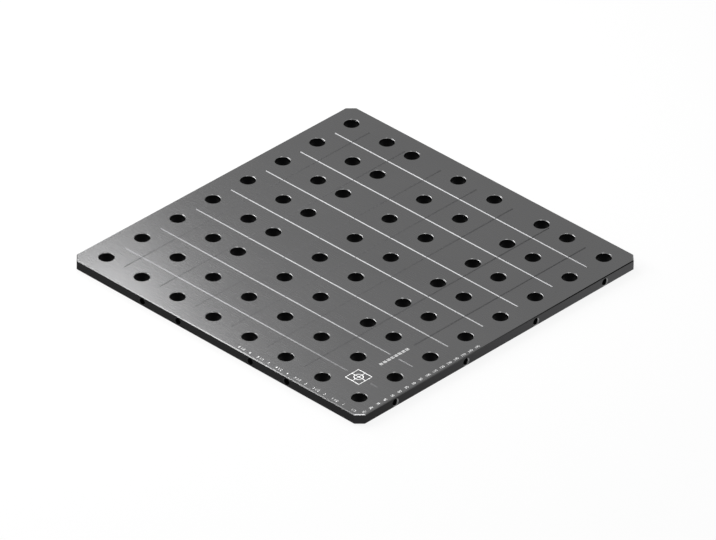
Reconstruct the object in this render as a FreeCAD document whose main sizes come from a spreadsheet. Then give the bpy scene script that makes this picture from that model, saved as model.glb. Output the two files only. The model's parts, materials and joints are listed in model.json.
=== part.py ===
"""Square steel fixture plate with a grid of plain bores, engraved grid lines and tapped bores
in its four edges.

Frame: the origin is at the centre of the underside, +Z is up out of the working face, and +X
and +Y run along two edges. The datum corner of the grid is at +X -Y. Lengths are in mm.
"""

import FreeCAD
import Part
import Sketcher
import os

# Sizes that can each be set by themselves, one spreadsheet row each.
SIZES = {
    "bore_pitch": 50.0,
    "edge_margin": 25.0,
    "plate_thickness": 12.0,
    "corner_cut": 8.0,
    "top_edge_chamfer": 0.8,
    "bottom_edge_chamfer": 1.5,
    "bore_diameter": 16.0,
    "bore_rim_chamfer": 0.5,
    "wide_pair_shift": 15.0,
    "line_width": 1.5,
    "line_depth": 0.6,
    "mark_gap": 31.0,
    "mark_strip_width": 11.0,
    "mark_strip_reach": 78.0,
    "side_bore_diameter": 6.8,
    "side_bore_depth": 20.0,
    "side_bore_mouth": 8.6,
}

ROWS = 8  # bores in each direction
CLOSE_ROWS = 2  # rows at the front that keep every bore on the pitch
OUTER_ROW = (ROWS - 1) / 2  # from the plate's centre to the outer row, in pitches
PLAIN_COLUMNS = (0.5, 2.5, 3.5)  # columns either side of the centre, in pitches
PAIR_COLUMNS = (1.5,)  # the columns that stand further out on the back rows
MARK_ROWS = 3  # from the plate's centre to the grid lines that cross at the mark
STRIP_ROWS = 2  # from the plate's centre to the grid line that the mark's strip crosses
FRONT_BORE_COLUMNS = (1, 2)  # tapped bores either side of the centre of the front edge
RIGHT_BORE_ROWS = (1, 3)  # and of the right-hand edge
DRILL_POINT_ANGLE = 118
MOUTH_ANGLE = 90

HALF_SIDE = f"({OUTER_ROW} * Sizes.bore_pitch + Sizes.edge_margin)"
LINE_END = f"({OUTER_ROW} * Sizes.bore_pitch)"
MARK_CENTRE = f"({MARK_ROWS} * Sizes.bore_pitch)"

START, END, CENTRE = range(1, 4)  # how a sketch numbers the points of a line or circle
ORIGIN_POINT = (-1, START)
LENGTH_TOLERANCE = 1e-4


def make_sheet(doc):
    """Put every driving size in a spreadsheet cell with its own alias."""
    sheet = doc.addObject("Spreadsheet::Sheet", "Sizes")
    for row, (name, value) in enumerate(SIZES.items(), start=1):
        sheet.set(f"A{row}", name)
        sheet.set(f"B{row}", str(value))
        sheet.setAlias(f"B{row}", name)
    doc.recompute()


def value_of(expression):
    """The number that an expression over the spreadsheet gives, to start a sketch near it."""
    for name, value in SIZES.items():
        expression = expression.replace(f"Sizes.{name}", f"{value}")
    return FreeCAD.Units.Quantity(f"({expression}) * 1 mm").Value


def new_sketch(body, name, role, offset="0"):
    """A sketch on one of the body's origin planes, moved along the plane's normal."""
    sketch = body.newObject("Sketcher::SketchObject", name)
    plane = next(item for item in body.Origin.OriginFeatures if item.Role == role)
    sketch.AttachmentSupport = (plane, "")
    sketch.MapMode = "FlatFace"
    sketch.setExpression("AttachmentOffset.Base.z", offset)
    return sketch


def bind_point(sketch, kind, geometry, point, expression):
    """Hold one coordinate of a point at the expression's distance from the sketch's origin."""
    distance = value_of(expression)
    ends = (*ORIGIN_POINT, geometry, point)
    if distance < 0:
        ends = (geometry, point, *ORIGIN_POINT)
        expression = f"-({expression})"
    index = sketch.addConstraint(Sketcher.Constraint(kind, *ends, abs(distance)))
    sketch.setExpression(f"Constraints[{index}]", expression)


def add_circles(sketch, centres, diameter):
    """Equal circles at centres given as pairs of expressions."""
    circles = []
    for across, along in centres:
        middle = FreeCAD.Vector(value_of(across), value_of(along), 0)
        shape = Part.Circle(middle, FreeCAD.Vector(0, 0, 1), value_of(diameter) / 2)
        circle = sketch.addGeometry(shape)
        bind_point(sketch, "DistanceX", circle, CENTRE, across)
        bind_point(sketch, "DistanceY", circle, CENTRE, along)
        circles.append(circle)
    first = Sketcher.Constraint("Diameter", circles[0], value_of(diameter))
    index = sketch.addConstraint(first)
    sketch.setExpression(f"Constraints[{index}]", diameter)
    for circle in circles[1:]:
        sketch.addConstraint(Sketcher.Constraint("Equal", circles[0], circle))


def add_outline(sketch, corners):
    """A closed outline of straight lines through corners given as pairs of expressions."""
    points = [FreeCAD.Vector(value_of(across), value_of(along), 0) for across, along in corners]
    lines = []
    for start, end in zip(points, points[1:] + points[:1]):
        lines.append(sketch.addGeometry(Part.LineSegment(start, end)))
    for line, following in zip(lines, lines[1:] + lines[:1]):
        sketch.addConstraint(Sketcher.Constraint("Coincident", line, END, following, START))
    for line, (across, along) in zip(lines, corners):
        bind_point(sketch, "DistanceX", line, START, across)
        bind_point(sketch, "DistanceY", line, START, along)


def cut(body, kind, name, sketch):
    """A pocket or hole of a sketch's profile, with the body's volume kept to test it."""
    body.Document.recompute()
    feature = body.newObject(f"PartDesign::{kind}", name)
    feature.Profile = sketch
    return feature, body.Shape.Volume


def finish_cut(feature, before):
    """A cut that points away from the solid removes nothing and shows no error."""
    feature.Document.recompute()
    if feature.Shape.Volume > before - LENGTH_TOLERANCE:
        raise RuntimeError(f"{feature.Name} removes no material")
    return feature


def repeat(body, feature, sketch, axis, copies):
    """Copies of a cut one pitch apart along an axis of its sketch."""
    pattern = body.newObject("PartDesign::LinearPattern", f"{feature.Name}_rows")
    pattern.Originals = [feature]
    pattern.Direction = (sketch, [axis])
    pattern.Mode = "Spacing"
    pattern.Occurrences = copies
    pattern.setExpression("Offset", "Sizes.bore_pitch")
    body.Tip = pattern
    body.Document.recompute()


def chamfer(body, name, chosen, size):
    """Chamfer the edges of the finished shape that a test picks out."""
    base = body.Tip
    names = [f"Edge{i}" for i, edge in enumerate(base.Shape.Edges, start=1) if chosen(edge)]
    feature = body.newObject("PartDesign::Chamfer", name)
    feature.Base = (base, names)
    feature.setExpression("Size", size)
    body.Document.recompute()


def is_round(edge):
    return isinstance(edge.Curve, Part.Circle)


def is_upright(edge):
    return edge.BoundBox.ZLength > LENGTH_TOLERANCE


def lies_at(edge, height):
    box = edge.BoundBox
    return abs(box.ZMin - height) + abs(box.ZMax - height) < LENGTH_TOLERANCE


def make_blank(body):
    """The square blank: sawn from plate, its four corners cut off at 45 degrees."""
    sketch = new_sketch(body, "outline", "XY_Plane")
    near, far = f"-{HALF_SIDE}", HALF_SIDE
    add_outline(sketch, ((near, near), (far, near), (far, far), (near, far)))
    body.Document.recompute()
    pad = body.newObject("PartDesign::Pad", "blank")
    pad.Profile = sketch
    pad.setExpression("Length", "Sizes.plate_thickness")
    body.Document.recompute()
    chamfer(body, "cut_corners", is_upright, "Sizes.corner_cut")


def break_outer_edges(body):
    """Chamfers round the outline of the working face and of the underside."""
    height = value_of("Sizes.plate_thickness")
    chamfer(body, "top_edges", lambda edge: lies_at(edge, height), "Sizes.top_edge_chamfer")
    chamfer(body, "bottom_edges", lambda edge: lies_at(edge, 0), "Sizes.bottom_edge_chamfer")


def drill_bore_rows(body, name, columns, shift, first_row, copies):
    """Through bores in mirrored columns, in rows one pitch apart from the first row back."""
    sketch = new_sketch(body, f"{name}_row", "XY_Plane")
    along = f"({first_row - OUTER_ROW}) * Sizes.bore_pitch"
    centres = []
    for column in columns:
        across = f"({column} * Sizes.bore_pitch + {shift})"
        centres.append((across, along))
        centres.append((f"-{across}", along))
    add_circles(sketch, centres, "Sizes.bore_diameter")
    pocket, before = cut(body, "Pocket", name, sketch)
    pocket.Type = "ThroughAll"
    pocket.Reversed = True
    finish_cut(pocket, before)
    repeat(body, pocket, sketch, "V_Axis", copies)


def drill_bores(body):
    """The grid of bores. The pair either side of the middle stands wider on the back rows."""
    drill_bore_rows(body, "plain_bores", PLAIN_COLUMNS, "0", 0, ROWS)
    drill_bore_rows(body, "close_pair", PAIR_COLUMNS, "0", 0, CLOSE_ROWS)
    wide_rows = ROWS - CLOSE_ROWS
    shift = "Sizes.wide_pair_shift"
    drill_bore_rows(body, "wide_pair", PAIR_COLUMNS, shift, CLOSE_ROWS, wide_rows)
    chamfer(body, "bore_rims", is_round, "Sizes.bore_rim_chamfer")


def engrave(body, name, role, across, start, end, copies=1):
    """A vee groove in the working face from start to end, repeated at one pitch.

    On YZ_Plane it runs along X and across is its Y. On XZ_Plane it runs along Y, and across
    is its X. That plane faces -Y, so its sketch stands at the start and not at the end.
    """
    offset = end if role == "YZ_Plane" else f"-({start})"
    sketch = new_sketch(body, f"{name}_vee", role, offset)
    half = "Sizes.line_width / 2"
    top = "Sizes.plate_thickness"
    corners = (
        (f"({across} - {half})", top),
        (f"({across})", f"({top} - Sizes.line_depth)"),
        (f"({across} + {half})", top),
    )
    add_outline(sketch, corners)
    pocket, before = cut(body, "Pocket", name, sketch)
    pocket.setExpression("Length", f"{end} - ({start})")
    finish_cut(pocket, before)
    if copies > 1:
        repeat(body, pocket, sketch, "H_Axis", copies)


def engrave_grid(body):
    """Grid lines halfway between the bores, broken where the datum mark and its strip lie."""
    near = f"-{LINE_END}"
    lines = range(1 - ROWS // 2, ROWS // 2)
    whole = [line for line in lines if line > -STRIP_ROWS]
    across = f"({whole[0]}) * Sizes.bore_pitch"
    engrave(body, "lines_along_x", "YZ_Plane", across, near, LINE_END, len(whole))
    for line, gap in ((STRIP_ROWS, "mark_strip_width"), (MARK_ROWS, "mark_gap")):
        across = f"-{line} * Sizes.bore_pitch"
        left = f"({MARK_CENTRE} - Sizes.{gap} / 2)"
        right = f"({MARK_CENTRE} + Sizes.{gap} / 2)"
        engrave(body, f"long_line_{line}", "YZ_Plane", across, near, left)
        engrave(body, f"short_line_{line}", "YZ_Plane", across, right, LINE_END)
    whole = [line for line in lines if line < MARK_ROWS]
    across = f"({whole[0]}) * Sizes.bore_pitch"
    engrave(body, "lines_along_y", "XZ_Plane", across, near, LINE_END, len(whole))
    start = f"(Sizes.mark_strip_reach - {MARK_CENTRE})"
    engrave(body, "mark_line", "XZ_Plane", MARK_CENTRE, start, LINE_END)


def drill_side(body, name, role, offset, places, turned):
    """Blind tapping bores in one edge of the plate, at mid thickness, with a countersunk mouth."""
    sketch = new_sketch(body, f"{name}_places", role, offset)
    centres = []
    for place in places:
        for sign in ("", "-"):
            across = f"{sign}({place} * Sizes.bore_pitch)"
            centres.append((across, "Sizes.plate_thickness / 2"))
    add_circles(sketch, centres, "Sizes.side_bore_diameter")
    hole, before = cut(body, "Hole", name, sketch)
    hole.Threaded = False
    hole.DepthType = "Dimension"
    hole.HoleCutType = "Countersink"
    hole.HoleCutCustomValues = True
    hole.DrillPoint = "Angled"
    hole.Reversed = turned
    hole.setExpression("Diameter", "Sizes.side_bore_diameter")
    hole.setExpression("Depth", "Sizes.side_bore_depth")
    hole.setExpression("HoleCutDiameter", "Sizes.side_bore_mouth")
    hole.HoleCutCountersinkAngle = MOUTH_ANGLE
    hole.DrillPointAngle = DRILL_POINT_ANGLE
    finish_cut(hole, before)


def drill_sides(body):
    """The same bores in opposite edges. XZ_Plane faces -Y, so the front edge lies above it."""
    near = f"-{HALF_SIDE}"
    drill_side(body, "front_bores", "XZ_Plane", HALF_SIDE, FRONT_BORE_COLUMNS, False)
    drill_side(body, "back_bores", "XZ_Plane", near, FRONT_BORE_COLUMNS, True)
    drill_side(body, "right_bores", "YZ_Plane", HALF_SIDE, RIGHT_BORE_ROWS, False)
    drill_side(body, "left_bores", "YZ_Plane", near, RIGHT_BORE_ROWS, True)


def check(doc, body):
    """Stop on a failed object, a bad shape or more than one solid."""
    for item in doc.Objects:
        if "Invalid" in item.State or "Error" in item.State:
            raise RuntimeError(f"{item.Name} failed: {item.State}")
    shape = body.Shape
    if shape.isNull() or not shape.isValid() or len(shape.Solids) != 1:
        raise RuntimeError(f"{body.Label} is not one valid solid")


doc = FreeCAD.newDocument("fixture_plate")
make_sheet(doc)
plate = doc.addObject("PartDesign::Body", "Plate")
plate.Label = "fixture_plate"
plate.Placement = FreeCAD.Placement()
make_blank(plate)
break_outer_edges(plate)
drill_bores(plate)
engrave_grid(plate)
drill_sides(plate)
doc.recompute()
check(doc, plate)
os.makedirs("parts", exist_ok=True)
plate.Shape.exportStep(f"parts/{plate.Label}.step")
size = plate.Shape.BoundBox
print(plate.Label, size.XLength, size.YLength, size.ZLength, plate.Shape.Volume, len(plate.Shape.Faces))
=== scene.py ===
import json
import math

import bmesh
import bpy
from mathutils import Matrix, Vector


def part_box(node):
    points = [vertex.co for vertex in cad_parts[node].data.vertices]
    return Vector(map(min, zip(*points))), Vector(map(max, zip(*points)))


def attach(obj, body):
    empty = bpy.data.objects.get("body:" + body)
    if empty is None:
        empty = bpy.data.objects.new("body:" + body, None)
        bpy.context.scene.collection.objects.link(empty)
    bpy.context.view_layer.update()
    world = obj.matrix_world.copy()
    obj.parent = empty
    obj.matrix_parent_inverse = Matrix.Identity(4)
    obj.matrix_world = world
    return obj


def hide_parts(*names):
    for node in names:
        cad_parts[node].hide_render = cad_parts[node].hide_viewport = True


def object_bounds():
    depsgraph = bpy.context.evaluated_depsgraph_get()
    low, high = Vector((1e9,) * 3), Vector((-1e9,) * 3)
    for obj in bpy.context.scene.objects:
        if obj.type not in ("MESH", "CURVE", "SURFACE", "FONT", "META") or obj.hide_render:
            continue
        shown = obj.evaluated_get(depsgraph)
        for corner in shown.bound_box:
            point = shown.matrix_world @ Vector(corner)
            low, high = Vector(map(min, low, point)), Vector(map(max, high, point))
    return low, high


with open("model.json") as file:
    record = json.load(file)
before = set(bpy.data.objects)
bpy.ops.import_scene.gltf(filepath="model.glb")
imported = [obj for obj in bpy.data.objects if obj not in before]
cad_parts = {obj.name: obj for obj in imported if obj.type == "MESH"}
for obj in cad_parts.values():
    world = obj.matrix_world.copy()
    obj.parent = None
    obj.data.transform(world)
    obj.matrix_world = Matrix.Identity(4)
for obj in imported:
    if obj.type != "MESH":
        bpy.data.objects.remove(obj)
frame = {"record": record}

MM = 0.001

cad_low, cad_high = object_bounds()

# Camera: a long lens far off and high over the datum corner, so that the plate is seen corner on
# and its far edges run almost parallel to the near ones.
CAMERA_TARGET = Vector((17.94 * MM, -14.64 * MM, cad_high[2]))
CAMERA_AZIMUTH = math.radians(43.6862)
CAMERA_ELEVATION = math.radians(33.4606)
CAMERA_ROLL = math.radians(0.7443)
CAMERA_DISTANCE = 8.9982
CAMERA_LENS = 455.55
CAMERA_SENSOR = 36.0

to_camera = Vector((
    math.sin(CAMERA_AZIMUTH) * math.cos(CAMERA_ELEVATION),
    -math.cos(CAMERA_AZIMUTH) * math.cos(CAMERA_ELEVATION),
    math.sin(CAMERA_ELEVATION),
))
level_right = Vector((math.cos(CAMERA_AZIMUTH), math.sin(CAMERA_AZIMUTH), 0))
level_up = to_camera.cross(level_right)
camera_right = level_right * math.cos(CAMERA_ROLL) + level_up * math.sin(CAMERA_ROLL)
camera_up = level_up * math.cos(CAMERA_ROLL) - level_right * math.sin(CAMERA_ROLL)
camera_turn = Matrix((camera_right, camera_up, to_camera)).transposed().to_4x4()

camera_data = bpy.data.cameras.new("camera")
camera_data.lens = CAMERA_LENS
camera_data.sensor_width = CAMERA_SENSOR
camera_data.sensor_fit = "HORIZONTAL"
camera_data.clip_end = 100
camera = bpy.data.objects.new("camera", camera_data)
bpy.context.scene.collection.objects.link(camera)
camera.matrix_world = Matrix.Translation(CAMERA_TARGET + to_camera * CAMERA_DISTANCE) @ camera_turn
bpy.context.scene.camera = camera
bpy.context.scene.view_settings.view_transform = "Standard"


# The plate: a square of steel, its four corners cut off, its outline chamfered above and
# below. It is ground on the working face, hardened and blackened all over. Its left and right
# sides are painted lighter than the front and back, and lighter towards the back, as painted
# light. The upper chamfers of the front and back are painted lighter than those of the left and
# right, which are painted darker towards the back, as painted shade.
PLATE_NODE = "fixture_plate"
CORNER_CUT = 8.0 * MM
TOP_EDGE_CHAMFER = 0.8 * MM
BOTTOM_EDGE_CHAMFER = 1.5 * MM
SAME_PLACE = 0.01 * MM
TONE_SPREAD = 0.08
GLOSS_SPREAD = 0.05
RELIEF_STRENGTH = 0.08
RELIEF_DEPTH = 0.02 * MM

plate_low, plate_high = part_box(PLATE_NODE)
plate_size = plate_high - plate_low
plate_centre = (plate_high + plate_low) / 2
plate_top = plate_high.z


def start_edit():
    """Edit mode on the active object with nothing selected, and its mesh to pick from."""
    bpy.ops.object.mode_set(mode="EDIT")
    bpy.ops.mesh.select_all(action="DESELECT")
    bpy.ops.mesh.select_mode(type="VERT")
    return bmesh.from_edit_mesh(bpy.context.object.data)


def pick_edges(mesh, chosen):
    for edge in mesh.edges:
        if chosen(edge):
            edge.select_set(True)
    mesh.select_flush_mode()
    bmesh.update_edit_mesh(bpy.context.object.data)


def pick_verts(mesh, chosen):
    for vert in mesh.verts:
        if chosen(vert.co):
            vert.select_set(True)
    mesh.select_flush_mode()
    bmesh.update_edit_mesh(bpy.context.object.data)


def bevel_edges(chosen, size):
    """Chamfer the edges of the active object that a test picks out."""
    mesh = start_edit()
    bpy.ops.mesh.select_mode(type="EDGE")
    pick_edges(mesh, chosen)
    bpy.ops.mesh.bevel(offset=size, offset_type="OFFSET", segments=1, affect="EDGES")
    bpy.ops.object.mode_set(mode="OBJECT")


def is_upright(edge):
    one, other = (vert.co for vert in edge.verts)
    return abs(one.z - other.z) > SAME_PLACE and abs(one.x - other.x) < SAME_PLACE


def lies_at(height):
    return lambda edge: all(abs(vert.co.z - height) < SAME_PLACE for vert in edge.verts)


bpy.ops.object.select_all(action="DESELECT")
bpy.ops.mesh.primitive_cube_add(size=1, location=plate_centre, scale=plate_size)
plate = bpy.context.object
plate.name = "plate"
bpy.ops.object.transform_apply(location=True, rotation=True, scale=True)
bevel_edges(is_upright, CORNER_CUT)
bevel_edges(lies_at(plate_top), TOP_EDGE_CHAMFER)
bevel_edges(lies_at(plate_low.z), BOTTOM_EDGE_CHAMFER)


def steel(name, colour, roughness, grain, patches, fade=None):
    """Metal whose colour varies in soft patches and whose gloss and relief vary in fine grain.
    A fade gives two places along the y axis, and the share of the colour left at each."""
    material = bpy.data.materials.new(name)
    material.use_nodes = True
    nodes, links = material.node_tree.nodes, material.node_tree.links
    shader = nodes["Principled BSDF"]
    shader.inputs["Metallic"].default_value = 1.0
    place = nodes.new("ShaderNodeTexCoord")
    stretch = nodes.new("ShaderNodeMapping")
    stretch.inputs["Scale"].default_value = grain
    links.new(place.outputs["Object"], stretch.inputs["Vector"])
    lines = nodes.new("ShaderNodeTexNoise")
    lines.inputs["Scale"].default_value = 1.0
    lines.inputs["Detail"].default_value = 4.0
    links.new(stretch.outputs["Vector"], lines.inputs["Vector"])
    clouds = nodes.new("ShaderNodeTexNoise")
    clouds.inputs["Scale"].default_value = patches
    clouds.inputs["Detail"].default_value = 3.0
    links.new(place.outputs["Object"], clouds.inputs["Vector"])
    tone = nodes.new("ShaderNodeMapRange")
    tone.inputs["To Min"].default_value = 1.0 - TONE_SPREAD
    tone.inputs["To Max"].default_value = 1.0 + TONE_SPREAD
    links.new(clouds.outputs["Fac"], tone.inputs["Value"])
    tint = nodes.new("ShaderNodeVectorMath")
    tint.operation = "SCALE"
    tint.inputs[0].default_value = colour
    strength = tone.outputs["Result"]
    if fade:
        axes = nodes.new("ShaderNodeSeparateXYZ")
        links.new(place.outputs["Object"], axes.inputs["Vector"])
        along = nodes.new("ShaderNodeMapRange")
        for socket, value in zip(("From Min", "From Max", "To Min", "To Max"), fade):
            along.inputs[socket].default_value = value
        links.new(axes.outputs["Y"], along.inputs["Value"])
        product = nodes.new("ShaderNodeMath")
        product.operation = "MULTIPLY"
        links.new(strength, product.inputs[0])
        links.new(along.outputs["Result"], product.inputs[1])
        strength = product.outputs["Value"]
    links.new(strength, tint.inputs["Scale"])
    links.new(tint.outputs["Vector"], shader.inputs["Base Color"])
    gloss = nodes.new("ShaderNodeMapRange")
    gloss.inputs["To Min"].default_value = roughness - GLOSS_SPREAD
    gloss.inputs["To Max"].default_value = roughness + GLOSS_SPREAD
    links.new(lines.outputs["Fac"], gloss.inputs["Value"])
    links.new(gloss.outputs["Result"], shader.inputs["Roughness"])
    relief = nodes.new("ShaderNodeBump")
    relief.inputs["Strength"].default_value = RELIEF_STRENGTH
    relief.inputs["Distance"].default_value = RELIEF_DEPTH
    links.new(lines.outputs["Fac"], relief.inputs["Height"])
    links.new(relief.outputs["Normal"], shader.inputs["Normal"])
    return material


ground_face = steel("ground_face", (0.103, 0.103, 0.104), 0.26, (40, 2600, 900), 9.0)
black_edge = steel("black_edge", (0.008, 0.008, 0.0083), 0.36, (700, 700, 2600), 30.0)
# The left and right sides take a lighter copy of the black sides, lighter again towards the back:
# painted light.
painted_light_fade = (-0.2, 0.2, 0.22, 1.95)
side_edge_painted_light = steel("side_edge_painted_light", (0.034, 0.034, 0.035), 0.36, (700, 700, 2600), 12.0, painted_light_fade)
# The upper chamfers of the front and back are a lighter copy than those of the left and right,
# which are painted darker towards the back: painted light and painted shade.
lit_chamfer_copy = steel("lit_chamfer_copy", (0.13, 0.13, 0.131), 0.21, (900, 900, 900), 40.0)
painted_shade_fade = (-0.2, 0.1, 1.0, 0.06)
shaded_chamfer_copy = steel("shaded_chamfer_copy", (0.1, 0.1, 0.101), 0.25, (900, 900, 900), 40.0, painted_shade_fade)
cut_corner = steel("cut_corner", (0.024, 0.024, 0.0246), 0.36, (700, 700, 2600), 30.0)
for finish in (black_edge, ground_face, side_edge_painted_light, lit_chamfer_copy, shaded_chamfer_copy, cut_corner):
    plate.data.materials.append(finish)
# Each face takes its finish by the way it faces, which puts the painted lighter and darker copies
# above on the sides and chamfers.
for face in plate.data.polygons:
    across, along, up = face.normal
    if abs(up) > 0.99:
        finish = ground_face
    elif up > 0.5:
        finish = shaded_chamfer_copy if abs(across) > 0.6 else lit_chamfer_copy
    elif abs(across) > 0.99:
        finish = side_edge_painted_light
    elif abs(across * along) > 0.4:
        finish = cut_corner
    else:
        finish = black_edge
    face.material_index = plate.data.materials.find(finish.name)


# The bores: plain round clamping bores right through the plate, bored and then chamfered at
# both rims by hand tool, in rows and columns given by the plate's own mounts.
BORE_STEPS = 64
BORE_RIM = 0.5 * MM
CUT_PAST = 1.0 * MM

bore_mounts = [mount for mount in frame["record"]["mounts"] if mount["kind"] == "bore"]
bore_radius = bore_mounts[0]["dims"]["r_mm"] * MM
# The bore walls are darker even than the black sides: the black finish and painted shade inside
# the bores.
bore_wall = steel("bore_wall", (0.003, 0.003, 0.0032), 0.42, (300, 300, 4000), 60.0)
bore_lip = steel("bore_lip", (0.14, 0.14, 0.141), 0.3, (900, 900, 900), 40.0)


def combine(target, other, operation, crosses_itself=False):
    """Join another object's volume to the target, or take it away with its own material."""
    bpy.ops.object.select_all(action="DESELECT")
    bpy.context.view_layer.objects.active = target
    target.select_set(True)
    bpy.ops.object.modifier_add(type="BOOLEAN")
    modifier = target.modifiers[-1]
    modifier.object = other
    modifier.operation = operation
    modifier.solver = "EXACT"
    modifier.use_self = crosses_itself
    modifier.material_mode = "TRANSFER"
    bpy.ops.object.modifier_apply(modifier=modifier.name)
    bpy.data.objects.remove(other, do_unlink=True)


def cut_from(target, cutter, crosses_itself=False):
    combine(target, cutter, "DIFFERENCE", crosses_itself)


def copies_at(pattern, places):
    """Copies of an object with a mesh each, moved by the matrices given, joined into one."""
    bpy.ops.object.select_all(action="DESELECT")
    for place in places:
        copy = pattern.copy()
        copy.data = pattern.data.copy()
        copy.data.transform(place)
        bpy.context.scene.collection.objects.link(copy)
        copy.select_set(True)
    bpy.context.view_layer.objects.active = copy
    bpy.data.objects.remove(pattern, do_unlink=True)
    bpy.ops.object.join()
    return bpy.context.object


wall_height = plate_size.z - 2 * BORE_RIM
bpy.ops.object.select_all(action="DESELECT")
bpy.ops.mesh.primitive_cylinder_add(vertices=BORE_STEPS, radius=bore_radius, depth=wall_height)
bore_cutter = bpy.context.object
for finish in (bore_wall, bore_lip):
    bore_cutter.data.materials.append(finish)
flare = BORE_RIM + CUT_PAST
for way in (1, -1):
    mesh = start_edit()
    pick_verts(mesh, lambda place: place.z * way > wall_height / 2 - SAME_PLACE)
    move = {"value": (0, 0, way * flare)}
    bpy.ops.mesh.extrude_region_move(TRANSFORM_OT_translate=move)
    wider = (bore_radius + flare) / bore_radius
    middle = (0, 0, way * (wall_height / 2 + flare))
    bpy.ops.transform.resize(value=(wider, wider, 1), center_override=middle)
    bpy.ops.object.mode_set(mode="OBJECT")
for face in bore_cutter.data.polygons:
    if 0.5 < abs(face.normal.z) < 0.9:
        face.material_index = bore_cutter.data.materials.find(bore_lip.name)
bore_places = [
    Matrix.Translation((mount["pos_m"][0], mount["pos_m"][1], plate_centre.z))
    for mount in bore_mounts
]
cut_from(plate, copies_at(bore_cutter, bore_places))


# The grid: vee lines engraved in the working face halfway between the bores, broken where the
# datum mark and the strip of graduations beside it stand.
LINE_WIDTH = 1.5 * MM
LINE_DEPTH = 0.6 * MM
MARK_GAP = 31.0 * MM
STRIP_GAP = 11.0 * MM
STRIP_REACH = 78.0 * MM
MARK_ROWS = 3
STRIP_ROWS = 2

bore_rows = sorted({round(mount["pos_m"][1], 6) for mount in bore_mounts})
bore_pitch = bore_rows[1] - bore_rows[0]
line_end = bore_rows[-1]
line_places = [row + bore_pitch / 2 for row in bore_rows[:-1]]
mark_x, mark_y = MARK_ROWS * bore_pitch, -MARK_ROWS * bore_pitch
strip_y = -STRIP_ROWS * bore_pitch
line_cut = steel("line_cut", (0.05, 0.05, 0.051), 0.145, (900, 900, 900), 40.0)


def vee_cutter(start, end, across, along_x):
    """A three-sided bar whose lower ridge is the bottom of an engraved line."""
    length = end - start
    height = LINE_DEPTH + CUT_PAST
    width = LINE_WIDTH * height / LINE_DEPTH
    middle = (start + end) / 2
    place = (middle, across) if along_x else (across, middle)
    size = (length, width) if along_x else (width, length)
    centre = (*place, plate_top - LINE_DEPTH + height / 2)
    bpy.ops.object.select_all(action="DESELECT")
    bpy.ops.mesh.primitive_cube_add(size=1, location=centre, scale=(*size, height))
    bar = bpy.context.object
    bpy.ops.object.transform_apply(location=True, rotation=True, scale=True)
    mesh = start_edit()
    pick_verts(mesh, lambda point: point.z < centre[2])
    narrow = (1, 0, 1) if along_x else (0, 1, 1)
    bpy.ops.transform.resize(value=narrow, center_override=centre)
    bpy.ops.mesh.remove_doubles(threshold=SAME_PLACE)
    bpy.ops.object.mode_set(mode="OBJECT")
    bar.data.materials.append(line_cut)
    return bar


def join(objects):
    bpy.ops.object.select_all(action="DESELECT")
    for item in objects:
        item.select_set(True)
    bpy.context.view_layer.objects.active = objects[0]
    bpy.ops.object.join()
    return objects[0]


def near(one, other):
    return abs(one - other) < SAME_PLACE


across_bars, along_bars = [], []
for place in line_places:
    gap = 0
    if near(place, mark_y):
        gap = MARK_GAP
    elif near(place, strip_y):
        gap = STRIP_GAP
    if gap:
        across_bars.append(vee_cutter(-line_end, mark_x - gap / 2, place, True))
        across_bars.append(vee_cutter(mark_x + gap / 2, line_end, place, True))
    else:
        across_bars.append(vee_cutter(-line_end, line_end, place, True))
    start = mark_y + STRIP_REACH if near(place, mark_x) else -line_end
    along_bars.append(vee_cutter(start, line_end, place, False))
cut_from(plate, join(across_bars))
cut_from(plate, join(along_bars))


# The scales: plain numbers engraved along two edges and counted from the datum corner, every
# ten millimetres up one edge and every half inch along the other, with a bare bright floor.
NUMBER_HEIGHT = 3.0 * MM
NUMBER_DEPTH = 0.12 * MM
NUMBER_WEIGHT = 0.05 * MM
FIGURE_SHARE = 0.72
SCALE_INSET = 4.2 * MM
INCH_INSET = 5.0 * MM
INCH = 25.4 * MM
WHOLE_SHIFT = 1.9 * MM
HALF_SHIFT = 0.8 * MM
METRIC_STEP = 10 * MM
METRIC_MARKS = 17
HALF_INCHES = 13
FIGURE_STEPS = 3
SEAM_GAP = 0.002 * MM

bare_steel = steel("bare_steel", (0.66, 0.66, 0.66), 0.45, (900, 900, 900), 60.0)


def number_cutter(text, place, turn):
    """A line of plain figures, standing through the working face to be cut out of it."""
    bpy.ops.object.select_all(action="DESELECT")
    bpy.ops.object.text_add()
    figures = bpy.context.object
    figures.data.body = text
    figures.data.size = NUMBER_HEIGHT / FIGURE_SHARE
    figures.data.align_x = "CENTER"
    figures.data.align_y = "CENTER"
    figures.data.offset = NUMBER_WEIGHT
    figures.data.resolution_u = FIGURE_STEPS
    bpy.ops.object.convert(target="MESH")
    figures = bpy.context.object
    start_edit()
    bpy.ops.mesh.select_all(action="SELECT")
    bpy.ops.mesh.remove_doubles(threshold=SEAM_GAP)
    move = {"value": (0, 0, 2 * NUMBER_DEPTH)}
    bpy.ops.mesh.extrude_region_move(TRANSFORM_OT_translate=move)
    bpy.ops.mesh.select_all(action="SELECT")
    bpy.ops.mesh.normals_make_consistent(inside=False)
    bpy.ops.object.mode_set(mode="OBJECT")
    spot = Matrix.Translation((*place, plate_top - NUMBER_DEPTH))
    figures.data.transform(spot @ Matrix.Rotation(turn, 4, "Z"))
    figures.data.materials.append(bare_steel)
    return figures


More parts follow.
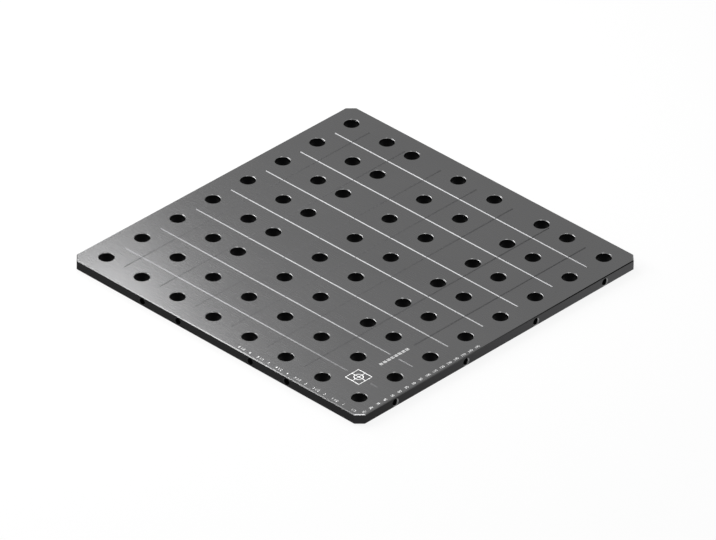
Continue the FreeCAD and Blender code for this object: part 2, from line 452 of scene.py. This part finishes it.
scale_x = plate_high.x - SCALE_INSET
scale_y = plate_low.y + INCH_INSET
numbers = [
    number_cutter(str(count * 10), (scale_x, plate_low.y + count * METRIC_STEP), math.pi / 2)
    for count in range(1, METRIC_MARKS + 1)
]
for count in range(1, HALF_INCHES + 1):
    whole, half = divmod(count, 2)
    words = [str(whole)] if whole else []
    if half:
        words.append("1/2")
    shift = HALF_SHIFT if half else WHOLE_SHIFT
    place = (plate_high.x - count * INCH / 2 - shift, scale_y)
    numbers.append(number_cutter(" ".join(words), place, 0))
cut_from(plate, join(numbers), crosses_itself=True)


# The datum mark and its graduations: a plain square crossed through its middle, with a ring
# round the point where the plate's zero is set up, and a short strip of ticks in groups of
# three beside it, engraved like the scales.
MARK_HALF = 9.2 * MM
MARK_RING = 4.6 * MM
MARK_LINE = 0.9 * MM
TICK_GROUPS = 8
GROUP_STEP = 5.2 * MM
GROUP_TICKS = (-1.35 * MM, 0, 1.35 * MM)
TICK_LINE = 0.65 * MM
TICK_LENGTH = 3.8 * MM
RING_STEPS = 64
ACROSS_DEPTH = 1.1 * NUMBER_DEPTH
UPRIGHT_DEPTH = 1.2 * NUMBER_DEPTH


def bar_cutter(centre, size, depth=NUMBER_DEPTH):
    bpy.ops.object.select_all(action="DESELECT")
    bpy.ops.mesh.primitive_cube_add(
        size=1, location=(*centre, plate_top), scale=(*size, 2 * depth)
    )
    bpy.ops.object.transform_apply(location=True, rotation=True, scale=True)
    bar = bpy.context.object
    bar.data.materials.append(bare_steel)
    return bar


def ring_cutter(radius):
    """A small rectangle spun about the middle of the mark."""
    bpy.ops.object.select_all(action="DESELECT")
    bpy.ops.mesh.primitive_plane_add(size=1)
    ring = bpy.context.object
    bpy.ops.transform.resize(value=(MARK_LINE, 2 * NUMBER_DEPTH, 1))
    bpy.ops.object.transform_apply(location=True, rotation=True, scale=True)
    upright = Matrix.Rotation(math.pi / 2, 4, "X")
    ring.data.transform(Matrix.Translation((mark_x + radius, mark_y, plate_top)) @ upright)
    start_edit()
    bpy.ops.mesh.select_all(action="SELECT")
    bpy.ops.mesh.delete(type="ONLY_FACE")
    bpy.ops.mesh.select_all(action="SELECT")
    bpy.ops.mesh.spin(
        steps=RING_STEPS, angle=2 * math.pi, center=(mark_x, mark_y, plate_top), axis=(0, 0, 1)
    )
    bpy.ops.mesh.select_all(action="SELECT")
    bpy.ops.mesh.remove_doubles(threshold=SEAM_GAP)
    bpy.ops.mesh.normals_make_consistent(inside=False)
    bpy.ops.object.mode_set(mode="OBJECT")
    ring.data.materials.append(bare_steel)
    return ring


marks = [ring_cutter(MARK_RING)]
for count in range(TICK_GROUPS):
    group = strip_y + (count - (TICK_GROUPS - 1) / 2) * GROUP_STEP
    for step in GROUP_TICKS:
        marks.append(bar_cutter((mark_x, group + step), (TICK_LENGTH, TICK_LINE)))
reach = 2 * MARK_HALF + MARK_LINE
for shift in (-MARK_HALF, 0, MARK_HALF):
    marks.append(bar_cutter((mark_x, mark_y + shift), (reach, MARK_LINE), ACROSS_DEPTH))
    marks.append(bar_cutter((mark_x + shift, mark_y), (MARK_LINE, reach), UPRIGHT_DEPTH))
cut_from(plate, join(marks), crosses_itself=True)


# The edge holes: blind tapped holes, four in each edge, that join the plate to its neighbours
# or to a stop rail. Each is drilled to a point, countersunk and then tapped. The countersinks
# are painted much lighter than the black sides, a painted glint, and painted darker again along
# the front edge, a painted shade.
EDGE_HOLE_DEPTH = 20.0 * MM
EDGE_HOLE_MOUTH = 4.3 * MM
DRILL_HALF_ANGLE = math.radians(59)
HOLE_STEPS = 32
THREAD_PITCH = 1.25 * MM
THREAD_TURNS = 14
THREAD_RADIUS = 4.0 * MM
THREAD_FOOT = 3.25 * MM
THREAD_TIP_HALF = 0.08 * MM
THREAD_SLOPE = math.tan(math.radians(30))
THREAD_SEAM = 0.001 * MM

tapped_mounts = [mount for mount in frame["record"]["mounts"] if mount["kind"] == "threaded_hole"]
hole_radius = tapped_mounts[0]["dims"]["r_mm"] * MM
# The tapped walls are darker even than the black sides: the black finish and painted shade inside
# the holes.
tapped_wall = steel("tapped_wall", (0.004, 0.004, 0.0042), 0.4, (900, 900, 900), 60.0)
# The countersinks are a painted glint, and along the front edge they are painted darker as shade.
painted_front_shade = (-0.2, -0.17, 0.12, 1.0)
glint_cone_wall = steel("glint_cone_wall", (0.25, 0.25, 0.252), 0.3, (900, 900, 900), 60.0, painted_front_shade)
mouth_depth = EDGE_HOLE_MOUTH - hole_radius

bpy.ops.object.select_all(action="DESELECT")
bpy.ops.mesh.primitive_cylinder_add(
    vertices=HOLE_STEPS,
    radius=hole_radius,
    depth=EDGE_HOLE_DEPTH - mouth_depth,
    location=(0, 0, -(EDGE_HOLE_DEPTH + mouth_depth) / 2),
)
hole_cutter = bpy.context.object
bpy.ops.object.transform_apply(location=True, rotation=True, scale=True)
point_height = hole_radius / math.tan(DRILL_HALF_ANGLE)
mesh = start_edit()
pick_verts(mesh, lambda place: place.z < -EDGE_HOLE_DEPTH + SAME_PLACE)
bpy.ops.mesh.extrude_region_move(TRANSFORM_OT_translate={"value": (0, 0, -point_height)})
bpy.ops.mesh.merge(type="CENTER")
mesh = start_edit()
pick_verts(mesh, lambda place: place.z > -mouth_depth - SAME_PLACE)
flare = mouth_depth + CUT_PAST
bpy.ops.mesh.extrude_region_move(TRANSFORM_OT_translate={"value": (0, 0, flare)})
wider = (hole_radius + flare) / hole_radius
bpy.ops.transform.resize(value=(wider, wider, 1), center_override=(0, 0, CUT_PAST))
bpy.ops.object.mode_set(mode="OBJECT")
for finish in (tapped_wall, glint_cone_wall):
    hole_cutter.data.materials.append(finish)
for face in hole_cutter.data.polygons:
    if face.center.z > -mouth_depth and abs(face.normal.z) < 0.9:
        face.material_index = hole_cutter.data.materials.find(glint_cone_wall.name)

foot_half = THREAD_TIP_HALF + (THREAD_RADIUS - THREAD_FOOT) * THREAD_SLOPE
bpy.ops.object.select_all(action="DESELECT")
bpy.ops.mesh.primitive_plane_add(size=1)
thread = bpy.context.object
for vert, (along, height) in zip(thread.data.vertices, (
    (THREAD_FOOT, -foot_half),
    (THREAD_RADIUS, -THREAD_TIP_HALF),
    (THREAD_FOOT, foot_half),
    (THREAD_RADIUS, THREAD_TIP_HALF),
)):
    vert.co = (along, 0, height + CUT_PAST - THREAD_TURNS * THREAD_PITCH)
start_edit()
bpy.ops.mesh.select_all(action="SELECT")
bpy.ops.mesh.delete(type="ONLY_FACE")
bpy.ops.object.mode_set(mode="OBJECT")
bpy.ops.object.modifier_add(type="SCREW")
winding = thread.modifiers[-1]
winding.screw_offset = THREAD_PITCH
winding.iterations = THREAD_TURNS
winding.steps = winding.render_steps = HOLE_STEPS
bpy.ops.object.modifier_apply(modifier=winding.name)
start_edit()
bpy.ops.mesh.select_all(action="SELECT")
bpy.ops.mesh.fill_holes(sides=4)
bpy.ops.mesh.select_all(action="SELECT")
bpy.ops.mesh.normals_make_consistent(inside=False)
bpy.ops.object.mode_set(mode="OBJECT")
thread.data.materials.append(tapped_wall)

combine(hole_cutter, thread, "UNION")
start_edit()
bpy.ops.mesh.select_all(action="SELECT")
bpy.ops.mesh.remove_doubles(threshold=THREAD_SEAM)
bpy.ops.mesh.quads_convert_to_tris()
bpy.ops.object.mode_set(mode="OBJECT")


def mouth_of(mount):
    """Where a hole's axis leaves the plate, turned so that the pattern's z axis points out."""
    axis = Vector(mount["axis"])
    inside = Vector(mount["pos_m"])
    corner = plate_high if sum(axis) > 0 else plate_low
    mouth = inside + axis * (corner.dot(axis) - inside.dot(axis))
    return Matrix.Translation(mouth) @ axis.to_track_quat("Z", "Y").to_matrix().to_4x4()


cut_from(plate, copies_at(hole_cutter, [mouth_of(mount) for mount in tapped_mounts]))


# The finished plate: one piece of metal with all its cuts, its round walls shaded smooth and its
# edges left sharp. It stands in for the whole of the solid.
SMOOTH_ANGLE = math.radians(30)

bpy.ops.object.select_all(action="DESELECT")
bpy.context.view_layer.objects.active = plate
plate.select_set(True)
bpy.ops.object.shade_smooth_by_angle(angle=SMOOTH_ANGLE)
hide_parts(PLATE_NODE)
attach(plate, "root")


# The floor and the studio: a plain pale surface under and behind the plate, and soft lamps all
# round it. Two stand to the left of the camera, one high and one low, a narrow one hangs beyond
# the left edge, a long one hangs beyond the right edge, and a weak one stands far behind it.
FLOOR_SIZE = 12.0
FLOOR_GLOW = 0.87
ROOM_LEVEL = 0.4
BACKDROP_LEVEL = 1.0


def seen_directly(nodes, links):
    """One for a ray from the camera, off a glossy surface or through glass, else nothing."""
    path = nodes.new("ShaderNodeLightPath")
    total = path.outputs["Is Camera Ray"]
    for kind in ("Is Glossy Ray", "Is Transmission Ray"):
        larger = nodes.new("ShaderNodeMath")
        larger.operation = "MAXIMUM"
        links.new(total, larger.inputs[0])
        links.new(path.outputs[kind], larger.inputs[1])
        total = larger.outputs["Value"]
    return total


bpy.ops.object.select_all(action="DESELECT")
bpy.ops.mesh.primitive_plane_add(size=FLOOR_SIZE, location=(0, 0, plate_low.z))
floor = bpy.context.object
floor.name = "floor"
floor_material = bpy.data.materials.new("floor_paper")
floor_material.use_nodes = True
nodes, links = floor_material.node_tree.nodes, floor_material.node_tree.links
paper = nodes["Principled BSDF"]
paper.inputs["Base Color"].default_value = (0.9, 0.9, 0.9, 1)
paper.inputs["Roughness"].default_value = 0.9
glow = nodes.new("ShaderNodeEmission")
glow.inputs["Strength"].default_value = 1.0
mix = nodes.new("ShaderNodeMixShader")
share = nodes.new("ShaderNodeMath")
share.operation = "MULTIPLY"
share.inputs[1].default_value = FLOOR_GLOW
links.new(seen_directly(nodes, links), share.inputs[0])
links.new(share.outputs["Value"], mix.inputs["Fac"])
links.new(paper.outputs["BSDF"], mix.inputs[1])
links.new(glow.outputs["Emission"], mix.inputs[2])
links.new(mix.outputs["Shader"], nodes["Material Output"].inputs["Surface"])
floor.data.materials.append(floor_material)

world = bpy.data.worlds.new("studio")
bpy.context.scene.world = world
world.use_nodes = True
nodes, links = world.node_tree.nodes, world.node_tree.links
background = nodes["Background"]
background.inputs["Color"].default_value = (1, 1, 1, 1)
level = nodes.new("ShaderNodeMapRange")
level.inputs["To Min"].default_value = ROOM_LEVEL
level.inputs["To Max"].default_value = BACKDROP_LEVEL
links.new(seen_directly(nodes, links), level.inputs["Value"])
links.new(level.outputs["Result"], background.inputs["Strength"])


def add_lamp(name, place, size, roll, radiance):
    """A rectangular softbox at a place in metres that faces the middle of the plate."""
    lamp_data = bpy.data.lights.new(name, "AREA")
    lamp_data.shape = "RECTANGLE"
    lamp_data.size, lamp_data.size_y = size
    lamp_data.energy = math.pi * size[0] * size[1] * radiance
    lamp = bpy.data.objects.new(name, lamp_data)
    bpy.context.scene.collection.objects.link(lamp)
    across = Vector((0, 0, 1)).cross(Vector(place)).normalized()
    away = Vector(place).normalized()
    turn = Matrix((across, away.cross(across), away)).transposed().to_4x4()
    lamp.matrix_world = Matrix.Translation(place) @ turn @ Matrix.Rotation(roll, 4, "Z")
    lamp.visible_camera = False


add_lamp("line_softbox", (-1.72, -1.07, 2.1), (0.6, 0.47), 0.046, 17.0)
add_lamp("low_softbox", (-1.07, -0.5, 0.675), (1.2, 0.17), 0.43, 14.5)
add_lamp("front_strip", (1.353, -0.884, 2.177), (0.911, 0.264), 0.175, 12.7)
add_lamp("top_strip", (-0.452, 0.195, 0.765), (0.115, 0.73), 0.0, 15.4)
add_lamp("back_softbox", (2.25, 2.91, 4.0), (1.06, 0.68), -0.31, 3.7)
